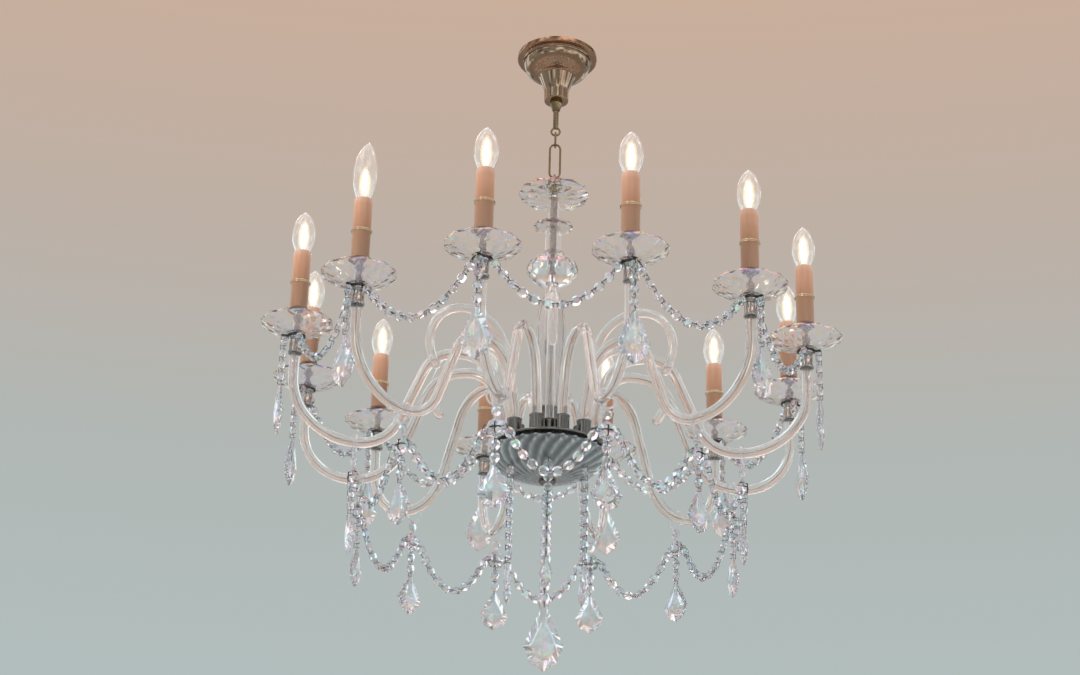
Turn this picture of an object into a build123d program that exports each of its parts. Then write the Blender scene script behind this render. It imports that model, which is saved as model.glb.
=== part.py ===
"""Crystal chandelier with twelve candle arms, hung by a short chain from a ceiling canopy.

Millimetres, +Z up. The origin is the middle of the ceiling bracket's upper face, so the
whole chandelier hangs below Z = 0. The front is -Y, and angles are counted from there.
Cut glass has flat facets. Wires and glass tubes turn their bends in short flats.
"""

from math import cos, degrees, radians, sin
import os

from build123d import *

os.makedirs("parts", exist_ok=True)

# ---------------------------------------------------------------- driving dimensions

seat_gap = 0.3  # between pieces that rest on or stand in one another
bore_gap = 0.3  # round a rod, tube or spigot that passes through a piece
slide_gap = 0.08  # round the shank in the collar that slides on it
overcut = 1  # of a cutting solid past the faces that it opens
front = -90  # direction of the front in degrees from +X

# Ceiling bracket and shank
bracket_length = 106
bracket_width = 24
bracket_thickness = 3
bracket_corner = 5
bracket_hole_spacing = 80
bracket_hole_radius = 2.6
shank_radius = 4.25
shank_length = 129
shank_nut_radius = 8
shank_nut_height = 6
nut_sides = 6
thread_sides = 12

# Canopy
canopy_radius = 62.5
canopy_lip = 8
canopy_bulge = [(53, 11), (50.3, 20.6), (45, 29), (36.9, 35.9), (27, 40)]  # radius and depth
canopy_neck_depth = 62
canopy_neck_radius = 19
canopy_height = 82
canopy_wall = 1.2
canopy_bore_gap = 1  # round the shank, since the cap centres the canopy
canopy_cap_radius = 10
canopy_cap_height = 17
cap_sides = 16
bore_sides = 6

# Chain
wire_radius = 1.6
wire_sides = 6
wire_flat = 30  # degrees turned by each flat of a bent wire
eye_radius = 6.6
small_link_width = 8
small_link_length = 24
long_link_width = 16
long_link_length = 58
stem_loop_radius = 7
chain_play = 0.5  # between wires that hang in one another

# Rings of the chandelier
arm_count = 12
arm_phase = 15  # first arm, counted from the front
cup_circle = 380
stem_length = 311.3  # from the head of the stem's collar down to the cup tops

# Candle cup, with its drip dish, candle and bulb
cup_flange_radius = 13.5
cup_flange_thickness = 3
flange_sides = 8
ferrule_radius = 10.5
ferrule_length = 25
ferrule_web = 5
cup_lug_reach = 20
cup_lug_width = 5
dish_radius = 53.5
dish_base_radius = 15
dish_rise = 17
dish_thickness = 3.5
dish_sides = 12
spindle_radius = 7
spindle_height = 41
spindle_sides = 6
sleeve_radius = 13.25
sleeve_sides = 8
sleeve_length = 92
sleeve_wall = 1.6
sleeve_floor = 2
holder_radius = 10.2
holder_drop = 5
holder_bore_depth = 22
bulb_cap_radius = 6.6
bulb_cap_length = 23
bulb_radius = 17.5
bulb_length = 67
bulb_sides = 6
bulb_profile = [(1, 0.40), (0.80, 0.64), (0.10, 1)]  # shares of radius and height

# Glass arms: route in shares of the cup circle and depth below the cup tops
tube_sides = 6
tube_flat = 30  # degrees turned by each flat of a bent tube
arm_radius = 7.5
socket_circle = 71
arm_rise_start = 85
arch_inner_share = 0.242
arch_outer_share = 0.463
arch_rise = 6
dip_inner_share = 0.632
dip_depth = 152
arm_bend_shares = [0.158, 0.132, 0.145, 0.171, 0.237]

# Glass crooks that stand between the arms
crook_count = 6
crook_radius = 6.5
crook_circle = 52
crook_rise_start = 90
crook_reach = 138
crook_bend = 64
crook_start = 170  # degrees from +X, where the curl leaves its straight foot
crook_sweep = 210

# Hub, receiver plate and arm sockets
plate_radius = 85
plate_thickness = 6
plate_depth = 122  # plate's upper face below the cup tops
plate_sides = 24
socket_wall = 3.2
socket_height = 22
socket_floor = 3.5
hub_radius = 17
hub_height = 60
hub_profile = [(1, 0), (1, 0.35), (0.72, 0.55), (1, 1)]
hub_sides = 12

# Rod and the glass column on it, whose profiles are shares of radius and height
rod_radius = 5
rod_foot = 54  # rod below the plate
collar_radius = 9
collar_height = 9
top_dish_gap = 6.3  # of bare rod under the collar
top_dish_radius = 55
top_dish_thickness = 9
top_dish_profile = [(0.42, 0), (1, 0.55), (0.94, 1)]
upper_tube_radius = 8
upper_tube_length = 46
upper_disc_radius = 31
lower_tube_radius = 12
lower_tube_length = 41
lower_disc_radius = 19
disc_thickness = 6
disc_profile = [(0.8, 0), (1, 0.5), (0.8, 1)]
ball_radius = 40
ball_height = 47
ball_profile = [(0.26, 0), (0.72, 0.14), (1, 0.48), (0.74, 0.84), (0.36, 1)]
baluster_radius = 23
baluster_profile = [(0.52, 0), (0.62, 0.10), (0.90, 0.40), (1, 0.62), (0.82, 0.80), (0.46, 0.94), (0.46, 1)]
baluster_wall = 3
coupler_radius = 10
coupler_height = 22
coupler_rise = 88  # above the baluster's foot
column_sides = 12
column_tube_sides = 8

# Bowl under the plate
bowl_radius = 92
bowl_rim_drop = 6
bowl_depth = 40
bowl_foot_radius = 24
bowl_profile = [(0.66, 0.26), (0.90, 0.60), (1, 1)]  # from its hip to its rim
bowl_wall = 4
bowl_sides = 16
bowl_nut_radius = 13
bowl_nut_profile = [(0.45, 0), (1, 0.55), (1, 1)]
bowl_nut_cover = 2.5  # nut left under the end of the rod

# Crystal strands and drops
stone_gap = 0.4  # between the points of stones that a pin joins
bead_length = 17.6
bead_width = 14
bead_depth = 8
upper_swag_sag = 65
lower_swag_sag = 62
rosette_share = 0.75  # of the cup circle, under the lowest stretch of the arms
rosette_radius = 15
rosette_depth = 12
arm_ring_radius = 16.6
arm_ring_wall = 1.6
arm_ring_sides = 6
drop_profile = [(0.27, 0.30), (0.50, 0.62), (0.33, 0.86)]  # shares of width and length
drop_belly = 0.6  # share of the length at which its facets meet
upper_drop = (47, 80, 13)  # width, length, depth
upper_bead_count = 4
lower_drop = (46, 63, 13)
lower_bead_count = 2
bowl_strand_circle = 62
bowl_strand_count = 6
bowl_strand_rise = 0.9  # of the flats on the bowl above the level of its corners
bowl_bead_count = 8
bowl_drop = (20, 46, 9)
centre_bead = (16, 19.2, 10)
centre_bead_count = 9
centre_drop = (58, 98, 20)


def below(depth):
    """Height of a level that is stated below the cup tops."""
    return cup_top - depth


def round_ring(count, radius=0, phase=0):
    """Equal places round the axis, the first at phase degrees from the front."""
    return PolarLocations(radius, count, start_angle=front + phase)


def save(piece, node):
    """Label a finished piece and write it under its own name."""
    piece.part.label = node
    export_step(piece.part, f"parts/{node}.step")


def flats(route, flat):
    """Corner points of a smooth route whose bends are cut in flats of about so many degrees."""
    points = []
    for edge in route.order_edges():
        straight = edge.geom_type == GeomType.LINE
        count = 1 if straight else max(1, round(degrees(edge.length / edge.radius) / flat))
        points += [edge @ (step / count) for step in range(count)]
    return points if route.is_closed else points + [route @ 1]


def start_plane(points):
    """Plane square to a route at its first point."""
    return Plane(origin=points[0], z_dir=points[1] - points[0])


def scaled(profile, radius, base, height):
    """Levels of a profile that is stated in shares of its radius and height."""
    return [(share * radius, base + rise * height) for share, rise in profile]


def cut_glass(levels, sides, swirl=False):
    """Solid on the vertical axis whose flat facets join (radius, height) levels, lowest first.

    A swirl turns each level by half a facet, so that the cuts run slantwise up the piece.
    """
    rings = []
    for level, (radius, height) in enumerate(levels):
        turn = level / 2 if swirl else 0
        corners = [Vector(radius, 0, height).rotate(Axis.Z, 360 * (side + turn) / sides)
                   for side in range(sides)]
        rings.append(corners)
    outlines = [rings[0], rings[-1]]
    for low, high in zip(rings, rings[1:]):
        for side in range(sides):
            after = (side + 1) % sides
            if swirl:
                outlines.append([low[side], low[after], high[side]])
                outlines.append([low[after], high[after], high[side]])
            else:
                outlines.append([low[side], low[after], high[after], high[side]])
    facets = [Face(Wire.make_polygon(outline)) for outline in outlines]
    return Solid(Shell(facets))


def bore(bottom, top, radius):
    """Straight hole with flat sides through the axis between two levels, as a cutting solid."""
    with BuildPart() as hole:
        with BuildSketch(Plane.XY.offset(bottom - overcut)):
            RegularPolygon(radius, bore_sides, major_radius=False)
        extrude(amount=top - bottom + 2 * overcut)
    return hole.part


def bead_outline(width, length):
    """Upright diamond that hangs from its upper point."""
    half_width, half_length = width / 2, length / 2
    with BuildSketch(Plane.YZ) as outline:
        Polygon((0, 0), (-half_width, -half_length), (0, -length), (half_width, -half_length), align=None)
    return outline.sketch.faces()[0]


def drop_outline(width, length):
    """Pear-shaped outline that hangs from its upper point."""
    left = [(-share * width, -down * length) for share, down in drop_profile]
    right = [(-across, height) for across, height in reversed(left)]
    with BuildSketch(Plane.YZ) as outline:
        Polygon((0, 0), *left, (0, -length), *right, align=None)
    return outline.sketch.faces()[0]


def cut_stone(outline, depth, waist_height):
    """Stone whose facets run from the outline to a front and a back point."""
    with BuildPart() as stone:
        front_point = Vertex(depth / 2, 0, waist_height)
        back_point = Vertex(-depth / 2, 0, waist_height)
        loft(sections=[front_point, outline, back_point], ruled=True)
    return stone.part


def bead(width, length, depth):
    """Strand stone, hung from its upper point."""
    return cut_stone(bead_outline(width, length), depth, -length / 2)


def drop(width, length, depth):
    """Pear-shaped drop, hung from its upper point."""
    return cut_stone(drop_outline(width, length), depth, -drop_belly * length)


def hanging(bead_count, bead_size, drop_size):
    """Straight strand of stones with a drop at its end, hung from the origin."""
    pitch = bead_size[1] + stone_gap
    with BuildPart() as strand:
        with Locations([(0, 0, -seat_gap - index * pitch) for index in range(bead_count)]):
            add(bead(*bead_size))
        with Locations((0, 0, -seat_gap - bead_count * pitch)):
            add(drop(*drop_size))
    return strand.part


def swag(circle, reach, height, sag):
    """Strand of beads in a parabola between two hangers one arm apart.

    circle is the hangers' own circle, and reach how far from its centre each holds the strand.
    """
    half_step = radians(180 / arm_count)
    half_span = circle * sin(half_step) - reach * cos(half_step)
    out = circle * cos(half_step) + reach * sin(half_step)
    with BuildLine(Plane.YZ.offset(out)) as drape:
        Bezier((-half_span, height), (0, height - 2 * sag), (half_span, height))
    curve = drape.edges()[0]
    count = round(curve.length / (bead_length + stone_gap))
    knots = [
        curve.position_at(curve.length * index / count, position_mode=PositionMode.LENGTH)
        for index in range(count + 1)
    ]
    shortest = min((end - start).length for start, end in zip(knots, knots[1:]))
    stone = bead(bead_width, shortest - stone_gap, bead_depth)
    places = []
    for start, end in zip(knots, knots[1:]):
        run = end - start
        lean = Vector(0, 0, -1).get_signed_angle(run, Vector(1, 0, 0))
        first = start + run.normalized() * (run.length - shortest + stone_gap) / 2
        places.append(Location(first, (lean, 0, 0)))
    with BuildPart() as strand:
        with Locations(*places):
            add(stone)
    return strand.part


# ---------------------------------------------------------------- ceiling bracket and shank

with BuildPart() as ceiling_bracket:
    with BuildSketch(Plane.XY.offset(-bracket_thickness)) as bracket_bar:
        Rectangle(bracket_length, bracket_width)
        chamfer(bracket_bar.vertices(), bracket_corner)
        with GridLocations(bracket_hole_spacing, 0, 2, 1):
            Circle(bracket_hole_radius, mode=Mode.SUBTRACT)
        RegularPolygon(shank_radius + bore_gap, thread_sides, major_radius=False, mode=Mode.SUBTRACT)
    extrude(amount=bracket_thickness)
save(ceiling_bracket, "ceiling_bracket")

eye_centre = -shank_length - eye_radius
with BuildLine(Plane.XZ.shift_origin((0, 0, eye_centre))) as eye_line:
    CenterArc((0, 0), eye_radius, 90, 360)
eye_points = flats(eye_line.wires()[0], wire_flat)
with BuildPart() as shank:
    with BuildSketch(Plane.XY.offset(-shank_length)):
        RegularPolygon(shank_radius, thread_sides)
    extrude(amount=shank_length)
    with BuildLine() as eye_route:
        Polyline(*eye_points, close=True)
    with BuildSketch(start_plane(eye_points)):
        RegularPolygon(wire_radius, wire_sides)
    sweep(transition=Transition.RIGHT)
save(shank, "shank")

with BuildPart() as shank_nut:
    with BuildSketch(Plane.XY.offset(-bracket_thickness - shank_nut_height)):
        RegularPolygon(shank_nut_radius, nut_sides)
        RegularPolygon(shank_radius + bore_gap, thread_sides, major_radius=False, mode=Mode.SUBTRACT)
    extrude(amount=shank_nut_height)
save(shank_nut, "shank_nut")

# ---------------------------------------------------------------- canopy, free to slide down

canopy_bore = shank_radius + canopy_bore_gap
canopy_outside = [(canopy_radius, 0), (canopy_radius, -canopy_lip)]
canopy_outside += [(radius, -depth) for radius, depth in canopy_bulge]
canopy_outside += [(canopy_neck_radius, -canopy_neck_depth), (canopy_neck_radius, -canopy_height)]
canopy_inside = [(radius - canopy_wall, height + canopy_wall) for radius, height in canopy_outside[:0:-1]]
with BuildPart() as canopy:
    with BuildSketch(Plane.XZ):
        with BuildLine():
            Polyline(
                *canopy_outside,
                (canopy_bore, -canopy_height),
                (canopy_bore, -canopy_height + canopy_wall),
                *canopy_inside,
                (canopy_radius - canopy_wall, 0),
                close=True,
            )
        make_face()
    revolve(axis=Axis.Z)
save(canopy, "canopy")

with BuildPart() as canopy_cap:
    with BuildSketch(Plane.XY.offset(-canopy_height - canopy_cap_height)):
        RegularPolygon(canopy_cap_radius, cap_sides)
        Circle(shank_radius + slide_gap, mode=Mode.SUBTRACT)
    extrude(amount=canopy_cap_height)
save(canopy_cap, "canopy_cap")

# ---------------------------------------------------------------- chain links

link_step = 2 * wire_radius + chain_play


def link(plane, width, length, top):
    """Long ring of bent wire in an upright plane, stated between wire centres."""
    bend = width / 2
    with BuildLine(plane.shift_origin((0, 0, top - length / 2))) as slot:
        Line((-bend, bend - length / 2), (-bend, length / 2 - bend))
        ThreePointArc((-bend, length / 2 - bend), (0, length / 2), (bend, length / 2 - bend))
        Line((bend, length / 2 - bend), (bend, bend - length / 2))
        ThreePointArc((bend, bend - length / 2), (0, -length / 2), (-bend, bend - length / 2))
    points = flats(slot.wires()[0], wire_flat)
    with BuildPart() as ring:
        with BuildLine() as route:
            Polyline(*points, close=True)
        with BuildSketch(start_plane(points)):
            RegularPolygon(wire_radius, wire_sides)
        sweep(transition=Transition.RIGHT)
    return ring


small_link_top = eye_centre - eye_radius + link_step
chain_link_small = link(Plane.YZ, small_link_width, small_link_length, small_link_top)
save(chain_link_small, "chain_link_small")

long_link_top = small_link_top - small_link_length + link_step
chain_link_long = link(Plane.XZ, long_link_width, long_link_length, long_link_top)
save(chain_link_long, "chain_link_long")

# ---------------------------------------------------------------- stem loop and rod

loop_top = long_link_top - long_link_length + link_step
loop_bottom = loop_top - 2 * stem_loop_radius
rod_top = loop_bottom - wire_radius
with BuildLine(Plane.YZ.shift_origin((0, 0, loop_top - stem_loop_radius))) as loop_line:
    CenterArc((0, 0), stem_loop_radius, 90, 360)
loop_points = flats(loop_line.wires()[0], wire_flat)
with BuildPart() as stem_loop:
    with BuildLine() as loop_route:
        Polyline(*loop_points, close=True)
    with BuildSketch(start_plane(loop_points)):
        RegularPolygon(wire_radius, wire_sides)
    sweep(transition=Transition.RIGHT)
    with BuildSketch(Plane.XY.offset(rod_top - collar_height)):
        RegularPolygon(collar_radius, column_sides)
    extrude(amount=collar_height + wire_radius / 2)
    with BuildSketch(Plane.XY.offset(rod_top - collar_height)):
        RegularPolygon(rod_radius + bore_gap, bore_sides, major_radius=False)
    extrude(amount=collar_height - wire_radius, mode=Mode.SUBTRACT)
save(stem_loop, "stem_loop")

cup_top = rod_top - stem_length
plate_top = below(plate_depth)
plate_bottom = plate_top - plate_thickness
rod_end = plate_bottom - rod_foot
rod_head = rod_top - wire_radius - seat_gap
with BuildPart() as stem_rod:
    with BuildSketch(Plane.XY.offset(rod_end)):
        Circle(rod_radius)
    extrude(amount=rod_head - rod_end)
save(stem_rod, "stem_rod")

# ---------------------------------------------------------------- glass column on the rod

rod_bore = rod_radius + bore_gap
top_dish_top = rod_top - collar_height - top_dish_gap
top_dish_base = top_dish_top - top_dish_thickness
top_dish_levels = scaled(top_dish_profile, top_dish_radius, top_dish_base, top_dish_thickness)
with BuildPart() as top_dish:
    add(cut_glass(top_dish_levels, 2 * column_sides))
    add(bore(top_dish_base, top_dish_top, rod_bore), mode=Mode.SUBTRACT)
save(top_dish, "top_dish")

upper_disc_top = top_dish_base - upper_tube_length
upper_disc_base = upper_disc_top - disc_thickness
lower_disc_top = upper_disc_base - lower_tube_length
lower_disc_base = lower_disc_top - disc_thickness
with BuildPart() as column_discs:
    add(cut_glass(scaled(disc_profile, upper_disc_radius, upper_disc_base, disc_thickness), column_sides))
    add(cut_glass(scaled(disc_profile, lower_disc_radius, lower_disc_base, disc_thickness), column_sides))
    add(bore(lower_disc_base, upper_disc_top, rod_bore), mode=Mode.SUBTRACT)
save(column_discs, "column_discs")

with BuildPart() as column_tubes:
    with BuildSketch(Plane.XY.offset(upper_disc_top)):
        RegularPolygon(upper_tube_radius, column_tube_sides)
    extrude(amount=upper_tube_length)
    with BuildSketch(Plane.XY.offset(lower_disc_top)):
        RegularPolygon(lower_tube_radius, column_tube_sides)
    extrude(amount=lower_tube_length)
    add(bore(lower_disc_top, top_dish_base, rod_bore), mode=Mode.SUBTRACT)
save(column_tubes, "column_tubes")

ball_base = lower_disc_base - ball_height
with BuildPart() as column_ball:
    add(cut_glass(scaled(ball_profile, ball_radius, ball_base, ball_height), column_sides))
    add(bore(ball_base, lower_disc_base, rod_bore), mode=Mode.SUBTRACT)
save(column_ball, "column_ball")

baluster_base = plate_top + hub_height
baluster_height = ball_base - baluster_base
baluster_outside = scaled(baluster_profile, baluster_radius, baluster_base, baluster_height)
baluster_inside = [(radius - baluster_wall, height) for radius, height in baluster_outside]
with BuildPart() as column_baluster:
    add(cut_glass(baluster_outside, column_sides))
    add(cut_glass(baluster_inside, column_sides), mode=Mode.SUBTRACT)
save(column_baluster, "column_baluster")

coupler_base = baluster_base + coupler_rise
with BuildPart() as rod_coupler:
    with BuildSketch(Plane.XY.offset(coupler_base)):
        RegularPolygon(coupler_radius, column_tube_sides)
    extrude(amount=coupler_height)
    add(bore(coupler_base, coupler_base + coupler_height, rod_bore), mode=Mode.SUBTRACT)
save(rod_coupler, "rod_coupler")

# ---------------------------------------------------------------- hub, plate and sockets

with BuildPart() as hub:
    add(cut_glass(scaled(hub_profile, hub_radius, plate_top, hub_height), hub_sides))
    add(bore(plate_top, baluster_base, rod_bore), mode=Mode.SUBTRACT)
save(hub, "hub")

with BuildPart() as receiver_plate:
    with BuildSketch(Plane.XY.offset(plate_bottom)):
        RegularPolygon(plate_radius, plate_sides)
    extrude(amount=plate_thickness)
    add(bore(plate_bottom, plate_top, rod_bore), mode=Mode.SUBTRACT)
save(receiver_plate, "receiver_plate")


def socket(tube_radius):
    """Six-sided cup that holds the foot of a glass tube, standing on the plate."""
    with BuildPart() as cup:
        with BuildSketch(Plane.XY.offset(plate_top)):
            RegularPolygon(tube_radius + bore_gap + socket_wall, tube_sides)
        extrude(amount=socket_height)
        with BuildSketch(Plane.XY.offset(plate_top + socket_floor)):
            RegularPolygon(tube_radius + bore_gap, tube_sides)
        extrude(amount=socket_height, mode=Mode.SUBTRACT)
    return cup.part


arm_socket = socket(arm_radius)
crook_socket = socket(crook_radius)
with BuildPart() as arm_sockets:
    with round_ring(arm_count, socket_circle, arm_phase):
        add(arm_socket)
    with round_ring(crook_count, crook_circle):
        add(crook_socket)
save(arm_sockets, "arm_sockets")

# ---------------------------------------------------------------- glass arms and crooks

tube_foot = plate_top + socket_floor + seat_gap
arm_head = cup_top - cup_flange_thickness - ferrule_web - seat_gap


def glass_tube(route, radius):
    """Six-sided glass tube along a route, its bends cut in flats."""
    points = flats(route, tube_flat)
    with BuildPart() as tube:
        with BuildLine():
            Polyline(*points)
        with BuildSketch(start_plane(points)):
            RegularPolygon(radius, tube_sides)
        sweep(transition=Transition.RIGHT)
    return tube.part


with BuildLine(Plane.XZ) as arm_line:
    FilletPolyline(
        (socket_circle, tube_foot),
        (socket_circle, below(arm_rise_start)),
        (arch_inner_share * cup_circle, cup_top + arch_rise),
        (arch_outer_share * cup_circle, cup_top + arch_rise),
        (dip_inner_share * cup_circle, below(dip_depth)),
        (cup_circle, below(dip_depth)),
        (cup_circle, arm_head),
        radius=[share * cup_circle for share in arm_bend_shares],
    )
arm = glass_tube(arm_line.wires()[0], arm_radius)
with BuildPart() as arms:
    with round_ring(arm_count, phase=arm_phase):
        add(arm)
save(arms, "arms")

with BuildLine(Plane.XZ) as crook_line:
    crook_foot = Line((crook_circle, tube_foot), (crook_circle, below(crook_rise_start)))
    crook_curl = CenterArc((crook_reach, cup_top), crook_bend, crook_start, -crook_sweep)
    Line(crook_foot @ 1, crook_curl @ 0)
crook = glass_tube(crook_line.wires()[0], crook_radius)
with BuildPart() as crooks:
    with round_ring(crook_count):
        add(crook)
save(crooks, "crooks")

# ---------------------------------------------------------------- candle cups and dishes

with BuildPart() as candle_cup:
    with BuildSketch(Plane.XY.offset(cup_top - cup_flange_thickness - ferrule_length)):
        RegularPolygon(ferrule_radius, tube_sides)
    extrude(amount=ferrule_length)
    with BuildSketch(Plane.XY.offset(cup_top - cup_flange_thickness)):
        RegularPolygon(cup_flange_radius, flange_sides, rotation=180 / flange_sides)
        with Locations(((cup_flange_radius + cup_lug_reach) / 2, 0)):
            Rectangle(cup_lug_reach - cup_flange_radius + cup_lug_width, cup_lug_width)
    extrude(amount=cup_flange_thickness)
    with BuildSketch(Plane.XY.offset(cup_top - cup_flange_thickness - ferrule_length)):
        RegularPolygon(arm_radius + bore_gap, tube_sides)
    extrude(amount=ferrule_length - ferrule_web, mode=Mode.SUBTRACT)
with BuildPart() as candle_cups:
    with round_ring(arm_count, cup_circle, arm_phase):
        add(candle_cup.part)
save(candle_cups, "candle_cups")

dish_base = cup_top + seat_gap
dish_floor = dish_base + dish_thickness
dish_rim = dish_floor + dish_rise
dish_hollow = [(dish_base_radius, dish_floor), (dish_radius - dish_thickness, dish_rim)]
with BuildPart() as dish:
    add(cut_glass([(dish_base_radius, dish_base), (dish_radius, dish_rim)], dish_sides))
    add(cut_glass(dish_hollow, dish_sides), mode=Mode.SUBTRACT)
    add(bore(dish_base, dish_floor, spindle_radius + bore_gap), mode=Mode.SUBTRACT)
with BuildPart() as bobeches:
    with round_ring(arm_count, cup_circle, arm_phase):
        add(dish.part)
save(bobeches, "bobeches")

with BuildPart() as spindle:
    with BuildSketch(Plane.XY.offset(dish_base)):
        RegularPolygon(spindle_radius, spindle_sides)
    extrude(amount=spindle_height - seat_gap)
with BuildPart() as spindles:
    with round_ring(arm_count, cup_circle, arm_phase):
        add(spindle.part)
save(spindles, "spindles")

# ---------------------------------------------------------------- candles, holders and bulbs

sleeve_base = cup_top + spindle_height
sleeve_top = sleeve_base + sleeve_length
with BuildPart() as sleeve:
    with BuildSketch(Plane.XY.offset(sleeve_base)):
        RegularPolygon(sleeve_radius, sleeve_sides)
    extrude(amount=sleeve_length)
    with BuildSketch(Plane.XY.offset(sleeve_base + sleeve_floor)):
        RegularPolygon(sleeve_radius - sleeve_wall, bore_sides)
    extrude(amount=sleeve_length, mode=Mode.SUBTRACT)
with BuildPart() as candle_sleeves:
    with round_ring(arm_count, cup_circle, arm_phase):
        add(sleeve.part)
save(candle_sleeves, "candle_sleeves")

holder_base = sleeve_base + sleeve_floor
holder_top = sleeve_top - holder_drop
with BuildPart() as lamp_holder:
    with BuildSketch(Plane.XY.offset(holder_base)):
        RegularPolygon(holder_radius, bore_sides)
    extrude(amount=holder_top - holder_base)
    with BuildSketch(Plane.XY.offset(holder_top - holder_bore_depth)):
        RegularPolygon(bulb_cap_radius + bore_gap, bore_sides, major_radius=False)
    extrude(amount=holder_bore_depth, mode=Mode.SUBTRACT)
with BuildPart() as lamp_holders:
    with round_ring(arm_count, cup_circle, arm_phase):
        add(lamp_holder.part)
save(lamp_holders, "lamp_holders")

bulb_foot = holder_top - holder_bore_depth + seat_gap
bulb_neck = bulb_foot + bulb_cap_length
bulb_tip = sleeve_top + bulb_length
bulb_cap = [(bulb_cap_radius, bulb_foot), (bulb_cap_radius, bulb_neck)]
bulb_flame = scaled(bulb_profile, bulb_radius, bulb_neck, bulb_tip - bulb_neck)
with BuildPart() as bulb:
    add(cut_glass(bulb_cap + bulb_flame, bulb_sides))
with BuildPart() as bulbs:
    with round_ring(arm_count, cup_circle, arm_phase):
        add(bulb.part)
save(bulbs, "bulbs")

# ---------------------------------------------------------------- bowl and its nut

bowl_rim = plate_bottom - bowl_rim_drop
bowl_base = bowl_rim - bowl_depth
bowl_outside = [(bowl_foot_radius, bowl_base)] + scaled(bowl_profile, bowl_radius, bowl_base, bowl_depth)
bowl_inside = [(radius - bowl_wall, height + bowl_wall) for radius, height in bowl_outside]
with BuildPart() as bowl:
    add(cut_glass(bowl_outside, bowl_sides, swirl=True))
    add(cut_glass(bowl_inside, bowl_sides), mode=Mode.SUBTRACT)
    add(bore(bowl_base, bowl_base + bowl_wall, rod_bore), mode=Mode.SUBTRACT)
save(bowl, "bowl")

nut_bottom = rod_end - bowl_nut_cover
nut_levels = scaled(bowl_nut_profile, bowl_nut_radius, nut_bottom, bowl_base - nut_bottom)
with BuildPart() as bowl_nut:
    add(cut_glass(nut_levels, column_sides))
    with BuildSketch(Plane.XY.offset(rod_end - seat_gap)):
        RegularPolygon(rod_bore, bore_sides, major_radius=False)
    extrude(until=Until.LAST, mode=Mode.SUBTRACT)
save(bowl_nut, "bowl_nut")

# ---------------------------------------------------------------- swags, rings and rosettes

swag_hook = cup_flange_radius * cos(radians(180 / flange_sides)) + seat_gap
upper_swag = swag(cup_circle, swag_hook, cup_top - cup_flange_thickness / 2, upper_swag_sag)
with BuildPart() as upper_swags:
    with round_ring(arm_count):
        add(upper_swag)
save(upper_swags, "upper_swags")

rosette_circle = rosette_share * cup_circle
ring_flat = cos(radians(180 / arm_ring_sides))
ring_hole = (arm_ring_radius - arm_ring_wall) * ring_flat
ring_centre = below(dip_depth) + arm_radius + seat_gap - ring_hole
ring_hanger = ring_centre - arm_ring_radius * ring_flat
rosette_top = ring_hanger - seat_gap - bead_length - stone_gap
rosette_centre = rosette_top - rosette_radius
with BuildPart() as arm_ring:
    with BuildSketch(Plane.YZ.offset(rosette_circle - arm_ring_wall / 2)):
        with Locations((0, ring_centre)):
            RegularPolygon(arm_ring_radius, arm_ring_sides)
            RegularPolygon(arm_ring_radius - arm_ring_wall, arm_ring_sides, mode=Mode.SUBTRACT)
    extrude(amount=arm_ring_wall)
    with Locations((rosette_circle, 0, ring_hanger - seat_gap)):
        add(bead(bead_width, bead_length, bead_depth))
with BuildPart() as arm_rings:
    with round_ring(arm_count, phase=arm_phase):
        add(arm_ring.part)
save(arm_rings, "arm_rings")

with BuildPart() as rosette:
    with BuildSketch(Plane.YZ) as rosette_outline:
        RegularPolygon(rosette_radius, 8)
    loft(
        sections=[
            Vertex(rosette_depth / 2, 0, 0),
            rosette_outline.sketch.faces()[0],
            Vertex(-rosette_depth / 2, 0, 0),
        ],
        ruled=True,
    )
with BuildPart() as rosettes:
    with round_ring(arm_count, phase=arm_phase):
        with Locations((rosette_circle, 0, rosette_centre)):
            add(rosette.part)
save(rosettes, "rosettes")

lower_swag = swag(rosette_circle, rosette_radius + stone_gap, rosette_centre, lower_swag_sag)
with BuildPart() as lower_swags:
    with round_ring(arm_count):
        add(lower_swag)
save(lower_swags, "lower_swags")

# ---------------------------------------------------------------- pendants, each free to swing

bead_size = (bead_width, bead_length, bead_depth)
upper_hook_circle = cup_circle + cup_lug_reach - cup_lug_width / 2
upper_hook = cup_top - cup_flange_thickness
upper_pendant = hanging(upper_bead_count, bead_size, upper_drop)
lower_hook = rosette_centre - rosette_radius
lower_pendant = hanging(lower_bead_count, bead_size, lower_drop)
for index in range(arm_count):
    turn = arm_phase + index * 360 / arm_count
    with BuildPart() as upper:
        with PolarLocations(upper_hook_circle, 1, start_angle=front + turn):
            with Locations((0, 0, upper_hook)):
                add(upper_pendant)
    save(upper, f"upper_pendant_{index + 1:02d}")
    with BuildPart() as lower:
        with PolarLocations(rosette_circle, 1, start_angle=front + turn):
            with Locations((0, 0, lower_hook)):
                add(lower_pendant)
    save(lower, f"lower_pendant_{index + 1:02d}")

with BuildPart() as centre_pendant:
    with round_ring(1):
        with Locations((0, 0, nut_bottom)):
            add(hanging(centre_bead_count, centre_bead, centre_drop))
save(centre_pendant, "centre_pendant")

bowl_hip = bowl_outside[1][1]
with BuildPart() as bowl_strands:
    with round_ring(bowl_strand_count):
        with Locations((bowl_strand_circle, 0, bowl_hip + bowl_strand_rise)):
            add(hanging(bowl_bead_count, bead_size, bowl_drop))
save(bowl_strands, "bowl_strands")
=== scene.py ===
"""Dresses the crystal chandelier: glass, plated metal, candle lights and strung crystal.

Metres, +Z up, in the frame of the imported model, whose origin is on the ceiling. The front is -Y.
The sections follow the chandelier from the ceiling down, as it is put together. Its pieces are
drawn in millimetres, and brought to metres as they are put in the scene.
"""

from math import acos, atan2, cos, degrees, pi, radians, sin, tau

import bmesh
import bpy
from mathutils import Matrix, Vector


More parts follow.
